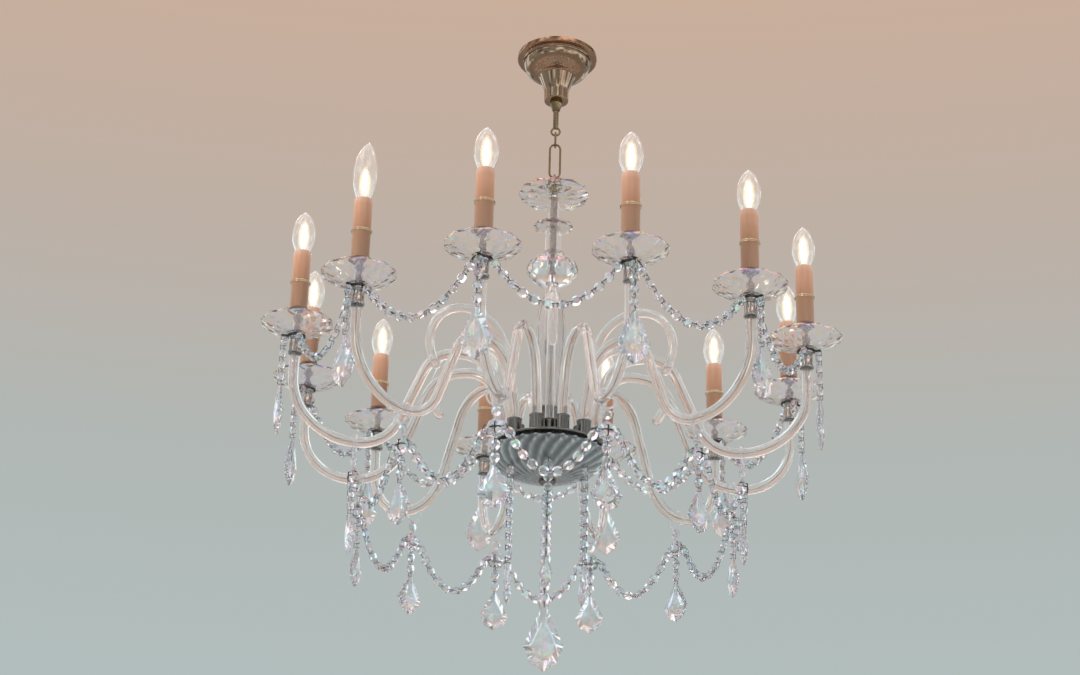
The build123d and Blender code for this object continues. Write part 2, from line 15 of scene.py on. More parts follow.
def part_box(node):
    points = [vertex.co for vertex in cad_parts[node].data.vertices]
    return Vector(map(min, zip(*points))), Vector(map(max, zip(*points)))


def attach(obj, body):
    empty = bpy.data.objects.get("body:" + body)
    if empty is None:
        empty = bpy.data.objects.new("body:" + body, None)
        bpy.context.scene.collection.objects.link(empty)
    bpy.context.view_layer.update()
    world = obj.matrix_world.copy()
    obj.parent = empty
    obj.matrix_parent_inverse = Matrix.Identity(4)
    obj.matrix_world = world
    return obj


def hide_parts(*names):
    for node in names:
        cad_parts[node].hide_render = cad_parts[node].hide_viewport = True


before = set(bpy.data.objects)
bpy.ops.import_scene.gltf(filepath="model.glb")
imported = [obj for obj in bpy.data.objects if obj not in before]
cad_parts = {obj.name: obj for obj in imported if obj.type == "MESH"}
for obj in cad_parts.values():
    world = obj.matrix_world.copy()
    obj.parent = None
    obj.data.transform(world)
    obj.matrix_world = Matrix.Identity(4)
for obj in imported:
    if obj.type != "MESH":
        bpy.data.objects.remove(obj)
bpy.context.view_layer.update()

mm = 0.001

# ---------------- view and studio
# The camera stands low in front of the chandelier and looks up at it, a little rolled,
# as the photograph does. Pale backdrop, pale floor and large soft lamps light it.


def in_scene(name, data):
    """New object of the scene."""
    thing = bpy.data.objects.new(name, data)
    bpy.context.scene.collection.objects.link(thing)
    return thing


camera_place = Vector((-0.042, -2.987, -1.836))
camera_turn = radians(0.50)  # from +Y towards +X
camera_rise = radians(24.3)
camera_roll = radians(1.48)
focal_pixels, photo_width = 2200, 1080
sensor_width = 36

sight = Vector((sin(camera_turn) * cos(camera_rise), cos(camera_turn) * cos(camera_rise), sin(camera_rise)))
level_right = sight.cross(Vector((0, 0, 1))).normalized()
level_up = level_right.cross(sight)
picture_right = level_right * cos(camera_roll) + level_up * sin(camera_roll)
picture_up = level_up * cos(camera_roll) - level_right * sin(camera_roll)
camera_data = bpy.data.cameras.new("photo_camera")
camera_data.sensor_width = sensor_width
camera_data.lens = sensor_width * focal_pixels / photo_width
camera = in_scene("photo_camera", camera_data)
camera.matrix_world = Matrix([*zip(picture_right, picture_up, -sight, camera_place), (0, 0, 0, 1)])
bpy.context.scene.camera = camera
bpy.context.scene.view_settings.view_transform = "Standard"


def feed(node, values):
    """Set inputs of a node by name or number: a socket is linked, anything else is the value."""
    for key, value in dict(values).items():
        if isinstance(value, bpy.types.NodeSocket):
            node.id_data.links.new(value, node.inputs[key])
        else:
            node.inputs[key].default_value = value


def add(tree, kind, values=(), **settings):
    """New node of a tree, with its settings and inputs. Gives back its outputs."""
    node = tree.nodes.new(kind)
    for key, value in settings.items():
        setattr(node, key, value)
    feed(node, values)
    return node.outputs


def maths(tree, operation, *values, **settings):
    """Math node on sockets and numbers."""
    return add(tree, "ShaderNodeMath", enumerate(values), operation=operation, **settings)[0]


def ramp(source, stops):
    """Colours of a value, from (position, colour) stops."""
    node = source.id_data.nodes.new("ShaderNodeValToRGB")
    points = node.color_ramp.elements
    points[0].position, points[0].color = stops[0][0], (*stops[0][1], 1)
    points[1].position, points[1].color = stops[-1][0], (*stops[-1][1], 1)
    for position, colour in stops[1:-1]:
        points.new(position).color = (*colour, 1)
    feed(node, {"Fac": source})
    return node.outputs["Color"]


def noise(place, scale, detail=2):
    """Cloudy value at a place."""
    values = {"Vector": place, "Scale": scale, "Detail": detail}
    return add(place.id_data, "ShaderNodeTexNoise", values)["Fac"]


def remap(value, low, high, new_low=0, new_high=1):
    """A value brought from one range to another, and held inside it."""
    ranges = {"Value": value, "From Min": low, "From Max": high, "To Min": new_low, "To Max": new_high}
    return add(value.id_data, "ShaderNodeMapRange", ranges)["Result"]


def mix(tree, factor, first, second, blend="MIX"):
    """Two colours mixed."""
    colours = {"Factor": factor, "A": first, "B": second}
    return add(tree, "ShaderNodeMix", colours, data_type="RGBA", blend_type=blend)["Result"]


world = bpy.data.worlds.new("studio")
world.use_nodes = True
bpy.context.scene.world = world
tree = world.node_tree
direction = add(tree, "ShaderNodeTexCoord")["Generated"]
climb = add(tree, "ShaderNodeSeparateXYZ", {0: direction})["Z"]
wall_tones = ramp(climb, (
    (0, (0.40, 0.43, 0.42)), (0.26, (0.445, 0.515, 0.51)), (0.36, (0.44, 0.475, 0.46)),
    (0.45, (0.51, 0.435, 0.38)), (0.55, (0.59, 0.425, 0.33)), (0.70, (0.66, 0.58, 0.54)),
    (1, (0.80, 0.79, 0.79)),
))

# Window and lamp patches that only reflections and bent rays meet, all round the view.
straight_ahead = add(tree, "ShaderNodeVectorMath", {0: direction, 1: sight}, operation="DOT_PRODUCT")["Value"]
aside = remap(straight_ahead, 0.93, 0.86)
bright = ramp(noise(direction, 3.2, 1), (
    (0, (0.12, 0.12, 0.13)), (0.33, (0.30, 0.29, 0.28)), (0.40, (1, 1, 1)), (0.55, (1.2, 1.2, 1.2)),
    (0.60, (3.4, 3.4, 3.5)), (1, (4.3, 4.4, 4.6)),
))
tints = ramp(noise(direction, 5), (
    (0.36, (1, 0.90, 0.88)), (0.46, (1, 1, 1)), (0.58, (0.80, 0.90, 1)),
))
patches = mix(tree, 1, bright, tints, "MULTIPLY")
rays = add(tree, "ShaderNodeLightPath")
bent_ray = maths(tree, "ADD", rays["Is Glossy Ray"], rays["Is Transmission Ray"], use_clamp=True)
room = mix(tree, maths(tree, "MULTIPLY", bent_ray, aside), wall_tones, patches, "MULTIPLY")
backdrop = tree.nodes["Background"]
feed(backdrop, {"Color": room})
fill = add(tree, "ShaderNodeBackground", {"Color": (1, 0.96, 0.93, 1), "Strength": 0.55})[0]
shown = maths(tree, "ADD", rays["Is Camera Ray"], bent_ray, use_clamp=True)
either = add(tree, "ShaderNodeMixShader", {"Fac": shown, 1: fill, 2: backdrop.outputs[0]})[0]
feed(tree.nodes["World Output"], {"Surface": either})

chandelier_middle = Vector((0, 0, -0.6))


def lamp(name, place, size, power, colour):
    """Soft round lamp that looks at the middle of the chandelier, without a mirror image."""
    light = bpy.data.lights.new(name, "AREA")
    light.shape = "DISK"
    light.size = size
    light.energy = power
    light.color = colour
    holder = in_scene(name, light)
    holder.visible_glossy = False
    holder.visible_transmission = False
    holder.location = place
    holder.rotation_mode = "QUATERNION"
    holder.rotation_quaternion = (chandelier_middle - holder.location).to_track_quat("-Z", "Y")


lamp("key_lamp", (-2.6, -1.6, 0.5), 1.4, 55, (1, 0.98, 0.95))
lamp("fill_lamp", (2.8, -1.2, -0.6), 1.2, 28, (0.93, 0.97, 1))
lamp("rim_lamp", (0.8, 2.8, 0.3), 1.6, 40, (1, 0.93, 0.88))


def new_material(name):
    material = bpy.data.materials.new(name)
    material.use_nodes = True
    return material


def shader_of(material):
    return material.node_tree.nodes["Principled BSDF"]


floor_half, floor_height = 9, -2.45
floor_corners = [(floor_half * x, floor_half * y, floor_height)
                 for x, y in ((-1, -1), (1, -1), (1, 1), (-1, 1))]
floor_mesh = bpy.data.meshes.new("floor")
floor_mesh.from_pydata(floor_corners, [], [(0, 1, 2, 3)])
floor_mesh.materials.append(new_material("floor_paint"))
feed(shader_of(floor_mesh.materials[0]), {"Base Color": (0.62, 0.63, 0.62, 1), "Roughness": 0.9})
in_scene("floor", floor_mesh)

# ---------------- ceiling bracket and nut
# A zinc-plated steel cross bar screwed to the ceiling, with the shank's brass nut under it.
# Both are hidden by the canopy, and keep their solids.


def place_on(material):
    """Where a shaded point lies on its object, in metres."""
    return add(material.node_tree, "ShaderNodeTexCoord")["Object"]


def bumps(height, strength, depth):
    """Surface bumps, as deep as a value says."""
    values = {"Height": height, "Strength": strength, "Distance": depth}
    return add(height.id_data, "ShaderNodeBump", values)["Normal"]


def metal(name, colour, worn, roughness, grain=0.3 * mm):
    """Plated metal: a cloudy tone, uneven polish and fine tool marks, all in real size."""
    material = new_material(name)
    place = place_on(material)
    cloud = noise(place, 45, 5)
    feed(shader_of(material), {
        "Metallic": 1,
        "Base Color": mix(material.node_tree, cloud, (*colour, 1), (*worn, 1)),
        "Roughness": remap(cloud, 0.3, 0.7, 0.6 * roughness, 1.5 * roughness),
        "Normal": bumps(noise(place, 0.3 / grain), 0.05, grain),
    })
    return material


def refinish(node, material):
    """Give a solid of the frame its finish."""
    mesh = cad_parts[node].data
    mesh.materials.clear()
    mesh.materials.append(material)


zinc = metal("zinc_plate", (0.62, 0.62, 0.60), (0.50, 0.51, 0.50), 0.28)
gilt = metal("gilt_brass", (0.95, 0.80, 0.58), (0.84, 0.66, 0.44), 0.16)
refinish("ceiling_bracket", zinc)
refinish("shank_nut", gilt)

# ---------------- shank and chain
# An antique-bronze rod ends in a bent eye, and two bent wire links hang the chandelier
# from it. The rod is threaded where the nut grips it.


def sizes(node):
    """Foot, top and reach along X of a node, in millimetres."""
    low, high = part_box(node)
    return low.z / mm, high.z / mm, high.x / mm


def smoothed(mesh, angle):
    """The mesh with smooth faces, but for edges sharper than an angle."""
    mesh.shade_smooth()
    mesh.set_sharp_from_angle(angle=radians(angle))
    return mesh


def closed_up(mesh):
    """Merge what meets at the axis, and turn every face outwards."""
    gap = 0.001
    work = bmesh.new()
    work.from_mesh(mesh)
    bmesh.ops.remove_doubles(work, verts=work.verts, dist=gap)
    bmesh.ops.dissolve_degenerate(work, dist=gap, edges=work.edges)
    bmesh.ops.recalc_face_normals(work, faces=work.faces)
    work.to_mesh(mesh)
    work.free()
    return mesh


def from_points(points, faces):
    """Closed mesh of plain points and flat faces."""
    mesh = bpy.data.meshes.new("mesh")
    mesh.from_pydata(points, [], faces)
    mesh.validate()
    return closed_up(mesh)


def turned(profile, sides=48, smooth_angle=35, shape=None):
    """Turned solid: a closed profile of (radius, height) spun round the vertical axis.

    shape(angle, radius, height, index) may press flutes or petals into it.
    """
    points, faces = [], []
    count = len(profile)
    for side in range(sides):
        angle = tau * side / sides
        for index, (radius, height) in enumerate(profile):
            r, z = shape(angle, radius, height, index) if shape else (radius, height)
            points.append((r * cos(angle), r * sin(angle), z))
        here, there = side * count, (side + 1) % sides * count
        for index in range(count):
            step = (index + 1) % count
            if profile[index][0] or profile[step][0]:
                faces.append((here + index, there + index, there + step, here + step))
    mesh = from_points(points, faces)
    return smoothed(mesh, smooth_angle) if smooth_angle else mesh


def bent(points, radius, sides=12, closed=False, melted=False):
    """Round bar or wire along a path, as a mesh with closed ends. A melted end is round."""
    points = [Vector(point) for point in points]
    sizes = [1] * len(points)
    if melted:
        onward = (points[-1] - points[-2]).normalized() * radius
        for turn in (20, 40, 60, 80):
            points.append(points[-1] + onward * (sin(radians(turn)) - sin(radians(turn - 20))))
            sizes.append(cos(radians(turn)))
    curve = bpy.data.curves.new("path", "CURVE")
    curve.dimensions = "3D"
    curve.bevel_depth = radius
    curve.bevel_resolution = sides // 2 - 2
    curve.use_fill_caps = not closed
    line = curve.splines.new("POLY")
    line.points.add(len(points) - 1)
    for knot, point, size in zip(line.points, points, sizes):
        knot.co = (*point, 1)
        knot.radius = size
    line.use_cyclic_u = closed
    holder = bpy.data.objects.new("path", curve)
    mesh = bpy.data.meshes.new_from_object(holder)
    bpy.data.objects.remove(holder)
    return smoothed(closed_up(mesh), 50)


def joined(meshes):
    """One mesh of several. Smooth faces stay smooth, but for sharp edges."""
    work = bmesh.new()
    for mesh in meshes:
        work.from_mesh(mesh)
    whole = bpy.data.meshes.new("joined")
    work.to_mesh(whole)
    work.free()
    if any(face.use_smooth for face in whole.polygons):
        whole.set_sharp_from_angle(angle=radians(35))
    return whole


def piece(name, mesh, material, slot, *nodes, body="chandelier"):
    """Put a finished mesh in the scene in metres, on its body, in place of its solids."""
    mesh.transform(Matrix.Scale(mm, 4))
    mesh.name = name
    mesh.materials.clear()
    mesh.materials.append(material)
    thing = in_scene(name, mesh)
    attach(thing, body)
    if nodes:
        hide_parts(*nodes)


def oval(plane, width, length, middle, steps=10):
    """Centre line of a long ring in the XZ or YZ plane."""
    bend, half = width / 2, (length - width) / 2
    line = []
    for end, start in ((1, 0), (-1, pi)):
        for step in range(steps + 1):
            angle = start + pi * step / steps
            line.append((bend * cos(angle), middle + end * half + bend * sin(angle)))
    return [(across, 0, up) if plane == "XZ" else (0, across, up) for across, up in line]


wire = 1.6
eye_radius = 6.6
eye_middle = sizes("shank")[0] + wire + eye_radius
eye_top = eye_middle + eye_radius
eye = bent(oval("XZ", 2 * eye_radius, 2 * eye_radius, eye_middle, 16), wire, closed=True)
shank_radius, thread_root = 4.25, 0.88 * 4.25
thread_turns, thread_pitch = 16, 1.5
thread_end = -thread_turns * thread_pitch
shank_profile = [
    (0, eye_top - wire / 2), (0.8 * shank_radius, eye_top - wire / 2), (shank_radius, eye_top + wire),
    (shank_radius, thread_end),
]
for turn in range(thread_turns):
    height = thread_end + turn * thread_pitch
    shank_profile += [(thread_root, height + thread_pitch / 2), (shank_radius, height + thread_pitch)]
shank_profile += [(0.8 * shank_radius, -0.2), (0, -0.2)]
bronze = metal("antique_bronze", (0.34, 0.24, 0.135), (0.20, 0.135, 0.075), 0.26)
shank = joined([turned(shank_profile, 24), eye])
piece("shank_rod", shank, bronze, "bronzed_steel", "shank", body="ceiling_mount")

for node, plane, body in (("chain_link_small", "YZ", "small_link"), ("chain_link_long", "XZ", "long_link")):
    foot, top = sizes(node)[:2]
    width = 2 * max(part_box(node)[1][:2]) / mm
    line = oval(plane, width - 2 * wire, top - foot - 2 * wire, (foot + top) / 2)
    piece(node + "_wire", bent(line, wire, closed=True), bronze, "bronzed_steel", node, body=body)

# ---------------- canopy and its cap
# Spun from thin brass in steps, with a rolled rim against the ceiling, and chrome-plated.
# The bronzed cap under it grips the shank and keeps the canopy up.


def arc(centre, radius, first, last, steps):
    """Points of an arc in a profile, with angles in degrees."""
    turns = [radians(first + (last - first) * step / steps) for step in range(steps + 1)]
    return [(centre[0] + radius * cos(turn), centre[1] + radius * sin(turn)) for turn in turns]


foot, top, rim_radius = sizes("canopy")
skin = 1.2
canopy_out = [
    (rim_radius - 0.6, 0), *arc((rim_radius - 1.5, -6.4), 1.5, 0, -90, 5),
    *arc((54.5, -9.4), 1.5, 90, 180, 4), *arc((27, -11.5), 25.6, 4, -78, 16),
    *arc((30.5, -40), 3.5, 110, 165, 4), (23.2, -51), (20, -60), (19, -66),
    *arc((17.5, -80.5), 1.5, 0, -90, 4),
]
canopy_in = [(radius - skin, height + (0.6 * skin if height < -2 else 0))
             for radius, height in canopy_out if radius > 19.5]
shank_hole = shank_radius + 1
canopy_profile = canopy_out + [(shank_hole, foot), (shank_hole, foot + skin), (16.5, foot + skin)]
# The chrome is tinted a dark warm brown: a painted reflection of the warm room, over its own mirror shine.
chrome = metal("chrome_painted_warm_reflection", (0.48, 0.31, 0.205), (0.28, 0.175, 0.115), 0.14, 0.2 * mm)
canopy = turned(canopy_profile + canopy_in[::-1], 96, 60)
piece("canopy_shell", canopy, chrome, "chrome", "canopy", body="canopy")

foot, top, radius = sizes("canopy_cap")
cap_hole = shank_radius + 0.08
cap_profile = [
    (cap_hole, foot), (0.52 * radius, foot), (0.62 * radius, foot + 1), (0.70 * radius, foot + 5),
    (0.98 * radius, foot + 11), (0.98 * radius, top - 1), (0.92 * radius, top), (cap_hole, top),
]
piece("canopy_cap_turned", turned(cap_profile, 32), bronze, "bronzed_steel", "canopy_cap", body="canopy")

# ---------------- stem
# The stem loop is a bronzed ring and collar screwed on the steel rod. The rod runs down
# the middle through every glass part and holds them together.


def placed(line, low, radius=1, tall=1):
    """Profile in place: its line is in shares of a radius and a height, or in millimetres."""
    return [(share * radius, low + up * tall) for share, up in line]


foot, top = sizes("stem_loop")[:2]
loop_radius = 7
loop = oval("YZ", 2 * loop_radius, 2 * loop_radius, top - wire - loop_radius, 16)
collar_line = [(0, 0), (7.6, 0), (8.6, 1.2), (8.6, 3.5), (6.2, 6), (3.2, 8), (2.6, 10), (0, 10)]
loop_mesh = joined([turned(placed(collar_line, foot), 32), bent(loop, wire, closed=True)])
piece("stem_loop_ring", loop_mesh, bronze, "bronzed_steel", "stem_loop")

foot, top, rod_radius = sizes("stem_rod")
rod_profile = [(0, foot), (rod_radius, foot), (rod_radius, top), (0, top)]
piece("stem_rod_turned", turned(rod_profile, 24), bronze, "bronzed_steel", "stem_rod")

# ---------------- glass column on the rod
# Cut and polished glass parts are threaded on the rod: a wide dish, two discs, two tubes,
# a faceted ball and a fluted baluster, with a metal coupler inside the baluster.


def glass(name, tints, roughness, ripple, ripple_size, index=1.5, film=None, coat=0, clear=1):
    """Clear glass: faint tints from place to place, a soft ripple, and a thin film if coated.

    A thin-walled tube is solid here with a low index, and its coat gives it back its shine.
    What clear leaves of 1 is a faint white haze.
    """
    material = new_material(name)
    place = place_on(material)
    cloud = noise(place, 55, 1)
    steps = len(tints) - 1
    feed(shader_of(material), {
        "Transmission Weight": clear,
        "IOR": index,
        "Coat Weight": coat,
        "Thin Film IOR": 1.8,
        "Base Color": ramp(cloud, [(0.3 + 0.4 * step / steps, tint) for step, tint in enumerate(tints)]),
        "Roughness": remap(cloud, 0.45, 0.8, 0, roughness),
        "Normal": bumps(noise(place, 0.4 / ripple_size), ripple, 0.2 * mm),
    })
    if film:
        feed(shader_of(material), {"Thin Film Thickness": remap(cloud, 0.3, 0.7, *film)})
    return material


def petals(count, depth, rim, cut):
    """Shape of a cut dish: petals at its rim, and flat cuts that cross from ring to ring."""
    def press(angle, radius, height, index):
        share = max(0, radius / rim) ** 2
        wave = cos(count * angle)
        side_step = cut * share * wave * (1 if index % 2 else -1)
        return radius * (1 - depth * share * (0.5 - 0.5 * wave)), height + side_step
    return press


cut_tints = [(1, 0.96, 0.94), (1, 1, 1), (0.96, 0.985, 1)]
cut_glass = glass("cut_glass", cut_tints, 0.02, 0.10, 4 * mm, 1.4, (265, 330), clear=0.93)
clear_tints = [(1, 0.94, 0.91), (1, 0.965, 0.945), (0.98, 0.985, 1)]
clear_glass = glass("clear_glass", clear_tints, 0.02, 0.2, 9 * mm, 1.22, coat=1, clear=0.86)
rod_hole = rod_radius + 0.3


def bored(line, low, high, radius=1, hole=rod_hole):
    """Profile bored from end to end: its line is in shares of a radius and of its height."""
    return [(hole, low), *placed(line, low, radius, high - low), (hole, high)]


foot, top, radius = sizes("top_dish")
dish_profile = [
    (rod_hole, foot), (0.20 * radius, foot), (0.42 * radius, foot), (0.72 * radius, foot + 2.4),
    (0.99 * radius, foot + 5.2), (0.97 * radius, top), (0.70 * radius, top - 2.2),
    (0.34 * radius, top - 2.6), (rod_hole, top - 1),
]
top_dish = turned(dish_profile, 24, None, petals(12, 0.05, radius, 0.8))
piece("top_dish_cut", top_dish, cut_glass, "cut_glass", "top_dish")

disc_foot, disc_top = sizes("column_discs")[:2]
disc_thickness = 6
disc_line = [(0.78, 0), (0.985, 0.46), (0.985, 0.56), (0.78, 1)]
discs = []
for radius, base in ((31, disc_top - disc_thickness), (19, disc_foot)):
    profile = bored(disc_line, base, base + disc_thickness, radius)
    discs.append(turned(profile, 20, None, petals(10, 0.05, radius, 0.4)))
piece("column_discs_cut", joined(discs), cut_glass, "cut_glass", "column_discs")

foot, top = sizes("column_tubes")[:2]
tubes = []
for radius, base, end in ((7.9, disc_top, top), (11.9, foot, disc_top - disc_thickness)):
    profile = [
        (rod_hole, base), (0.92 * radius, base), (radius, base + 0.8), (radius, end - 0.8),
        (0.92 * radius, end), (rod_hole, end),
    ]
    tubes.append(turned(profile, 32))
piece("column_tubes_drawn", joined(tubes), clear_glass, "clear_glass", "column_tubes")


def faceted(levels, sides, hole):
    """Cut ball: staggered rows of corners, so that its facets are diamonds and triangles."""
    rows = [(radius, height, 0.5 * (level % 2)) for level, (radius, height) in enumerate(levels)]
    rows += [(hole, rows[0][1], 0), (hole, rows[-1][1], rows[-1][2])]
    points, faces = [], []
    for radius, height, turn in rows:
        for side in range(sides):
            angle = tau * (side + turn) / sides
            points.append((radius * cos(angle), radius * sin(angle), height))
    last = (len(levels) - 1) * sides
    first = last + sides
    for side in range(sides):
        after = (side + 1) % sides
        for level in range(len(levels) - 1):
            low, high = level * sides, (level + 1) * sides
            if level % 2 == 0:
                faces += [(low + side, low + after, high + side), (high + side, low + after, high + after)]
            else:
                faces += [(low + side, high + after, high + side), (low + side, low + after, high + after)]
        faces.append((side, first + side, first + after, after))
        faces.append((last + side, last + after, first + sides + after, first + sides + side))
        faces.append((first + side, first + sides + side, first + sides + after, first + after))
    return from_points(points, faces)


foot, top, radius = sizes("column_ball")
ball_line = [(0.26, 0), (0.62, 0.09), (0.88, 0.26), (0.99, 0.46), (0.94, 0.66), (0.72, 0.86), (0.36, 1)]
ball = faceted(placed(ball_line, foot, radius, top - foot), 14, rod_hole)
piece("column_ball_cut", ball, cut_glass, "cut_glass", "column_ball")

foot, top, baluster_radius = sizes("column_baluster")
baluster_wall = 3
baluster_line = [
    (0.51, 0), (0.56, 0.05), (0.64, 0.13), (0.76, 0.26), (0.88, 0.40), (0.96, 0.52), (0.97, 0.62),
    (0.93, 0.71), (0.81, 0.80), (0.62, 0.88), (0.46, 0.94), (0.45, 1),
]
outside = placed(baluster_line, foot, baluster_radius, top - foot)
inside = [(radius - baluster_wall, height) for radius, height in outside][::-1]


def flutes(angle, radius, height, index):
    """Twelve shallow flutes down the belly of the baluster."""
    return radius * (1 - 0.02 * (1 - cos(12 * angle)) * (radius > 0.5 * baluster_radius)), height


baluster = turned(outside + inside, 72, 40, flutes)
piece("column_baluster_blown", baluster, clear_glass, "clear_glass", "column_baluster")

nickel = metal("dark_nickel", (0.27, 0.26, 0.245), (0.18, 0.175, 0.165), 0.12)
foot, top = sizes("rod_coupler")[:2]
coupler_profile = [(rod_hole, foot), (8, foot), (9, foot + 2), (9, top - 2), (8, top), (rod_hole, top)]
piece("rod_coupler_turned", turned(coupler_profile, 32), nickel, "dark_nickel", "rod_coupler")

# ---------------- hub, plate and sockets
# A turned hub stands on the pressed receiver plate, and eighteen drawn cups are riveted to
# the plate in two rings. All are plated in dark nickel.


def new_tree(name, **inputs):
    """Geometry Nodes tree with named inputs and one geometry out, and the sockets of its inputs."""
    tree = bpy.data.node_groups.new(name, "GeometryNodeTree")
    tree.interface.new_socket("geometry", in_out="OUTPUT", socket_type="NodeSocketGeometry")
    for key, kind in inputs.items():
        tree.interface.new_socket(key, in_out="INPUT", socket_type="NodeSocket" + kind)
    return tree, add(tree, "NodeGroupInput")


def ended(tree, instances, finish):
    """The tree with its last nodes: its instances are made real, in their material."""
    real = add(tree, "GeometryNodeRealizeInstances", {0: instances})[0]
    done = add(tree, "GeometryNodeSetMaterial", {"Geometry": real, "Material": finish})[0]
    add(tree, "NodeGroupOutput", {0: done})
    return tree


def ring_array():
    """Geometry Nodes tree that repeats a piece round the vertical axis."""
    tree, given = new_tree("ring_array", piece="Geometry", count="Int", first_turn="Float",
                           left_out="Int", finish="Material")
    places = add(tree, "GeometryNodePoints", {"Count": given["count"]})[0]
    number = add(tree, "GeometryNodeInputIndex")[0]
    apart = maths(tree, "DIVIDE", tau, given["count"])
    turn = maths(tree, "MULTIPLY_ADD", number, apart, given["first_turn"])
    kept = add(tree, "FunctionNodeCompare", {2: number, 3: given["left_out"]},
               data_type="INT", operation="NOT_EQUAL")[0]
    copies = add(tree, "GeometryNodeInstanceOnPoints", {
        "Points": places,
        "Instance": given["piece"],
        "Selection": kept,
        "Rotation": add(tree, "ShaderNodeCombineXYZ", {"Z": turn})[0],
    })[0]
    return ended(tree, copies, given["finish"])


def grown(mesh, tree, **values):
    """The plain mesh that a Geometry Nodes tree makes of a prototype, with its named inputs set."""
    thing = in_scene("prototype", mesh)
    modifier = thing.modifiers.new("made", "NODES")
    modifier.node_group = tree
    for socket in tree.interface.items_tree:
        if socket.in_out == "INPUT" and socket.name in values:
            modifier[socket.identifier] = values[socket.name]
    view = bpy.context.evaluated_depsgraph_get()
    result = bpy.data.meshes.new_from_object(thing.evaluated_get(view))
    bpy.data.objects.remove(thing)
    return result


ring_tree = ring_array()
front = -pi / 2
arm_count = 12
first_arm = front + radians(15)


def round_ring(name, mesh, material, slot, *nodes, count=arm_count, first=first_arm, left_out=-1):
    """A prototype that points along +X, repeated round the axis and put on the chandelier."""
    whole = grown(mesh, ring_tree, count=count, first_turn=first, left_out=left_out, finish=material)
    piece(name, whole, material, slot, *nodes)


def moved(mesh, out, up=0):
    """The mesh moved out along +X, and up."""
    mesh.transform(Matrix.Translation((out, 0, up)))
    return mesh


foot, top, radius = sizes("hub")
hub_line = [
    (0.96, 0), (0.99, 0.03), (0.99, 0.30), (0.93, 0.36), (0.76, 0.44), (0.72, 0.55), (0.78, 0.70),
    (0.90, 0.86), (0.99, 0.94), (0.97, 1),
]
piece("hub_turned", turned(bored(hub_line, foot, top, radius)), nickel, "dark_nickel", "hub")

plate_foot, plate_top, plate_reach = sizes("receiver_plate")
plate_radius = plate_reach * cos(pi / 24)
plate_profile = [
    (rod_hole, plate_foot), (plate_radius - 3, plate_foot),
    *arc((plate_radius - 2, plate_foot + 3), 2, -60, 60, 6), (plate_radius - 4, plate_top),
    (rod_hole, plate_top),
]
piece("receiver_plate_pressed", turned(plate_profile, 96), nickel, "dark_nickel", "receiver_plate")


def socket_cup(tube_radius, circle):
    """Drawn cup with a rolled lip, standing on the plate at its circle."""
    outer, inner = tube_radius + 2.9, tube_radius + 0.4
    base, top = plate_top, sizes("arm_sockets")[1]
    profile = [
        (0, base), (outer, base), (outer, top - 2.4), (outer + 0.5, top - 1.9), (outer + 0.5, top - 0.5),
        (outer, top), (inner, top), (inner, base + 3.5), (0, base + 3.5),
    ]
    return moved(turned(profile, 28), circle)


arm_radius, socket_circle = 7.5, 71
crook_radius, crook_circle, crook_count = 6.5, 52, 6
arm_socket, crook_socket = socket_cup(arm_radius, socket_circle), socket_cup(crook_radius, crook_circle)
round_ring("arm_socket_cups", arm_socket, nickel, "dark_nickel", "arm_sockets")
round_ring("crook_socket_cups", crook_socket, nickel, "dark_nickel", count=crook_count, first=front)

# ---------------- glass arms and crooks
# Each arm is one drawn glass tube, bent hot in a swan's neck, with its two leads inside.
# The six crooks are plain hooks of thinner glass that stand between the arms.


def rounded(corners, radii, step_degrees=4):
    """Path in the XZ plane through corners, each rounded to its own radius."""
    corners = [Vector((x, 0, z)) for x, z in corners]
    points = corners[:1]
    for before, here, after, radius in zip(corners, corners[1:], corners[2:], radii):
        back, on = (before - here).normalized(), (after - here).normalized()
        half = acos(max(-1, min(1, back.dot(on)))) / 2
        reach = radius / (sin(half) / cos(half))
        centre = here + (back + on).normalized() * radius / sin(half)
        start, end = here + back * reach - centre, here + on * reach - centre
        sweep = start.angle(end)
        count = max(2, round(degrees(sweep) / step_degrees))
        for step in range(count + 1):
            share = step / count
            leg = (start * sin((1 - share) * sweep) + end * sin(share * sweep)) / sin(sweep)
            points.append(centre + leg)
    return points + corners[-1:]


cup_circle, cup_top = 380, -540


def on_cups(name, mesh, material, slot, *nodes, left_out=-1):
    """A piece turned about the axis, put on each of the twelve cups."""
    round_ring(name, moved(mesh, cup_circle), material, slot, *nodes, left_out=left_out)


tube_foot = plate_top + 3.8
dip_level = cup_top - 152
arm_corners = [
    (socket_circle, tube_foot), (socket_circle, cup_top - 85), (92, cup_top + 6), (176, cup_top + 6),
    (240, dip_level), (cup_circle, dip_level), (cup_circle, cup_top - 8.3),
]
arm_line = rounded(arm_corners, [60, 50, 55, 65, 90])
round_ring("glass_arms", bent(arm_line, arm_radius, 20), clear_glass, "clear_glass", "arms")


def even_steps(points, step):
    """Points at equal steps along a path."""
    out, left = [points[0].copy()], step
    for start, end in zip(points, points[1:]):
        run = (end - start).length
        while left <= run:
            out.append(start.lerp(end, left / run))
            left += step
        left -= run
    return out


def leads(points, radius, off, pitch, step=4):
    """Two thin leads twisted round each other along a path in the XZ plane."""
    line = even_steps(points, step)
    across = Vector((0, 1, 0))
    pair = []
    for side in (0, pi):
        route = []
        for index, point in enumerate(line):
            along = (line[min(index + 1, len(line) - 1)] - line[max(index - 1, 0)]).normalized()
            angle = side + tau * index * step / pitch
            route.append(point + off * (across * cos(angle) + along.cross(across) * sin(angle)))
        pair.append(bent(route, radius, 6))
    return joined(pair)


lead_sleeve = metal("clear_sleeved_lead", (0.80, 0.58, 0.45), (0.60, 0.40, 0.30), 0.4)
round_ring("arm_leads", leads(arm_line, 0.36, 0.42, 90), lead_sleeve, "bronzed_steel")

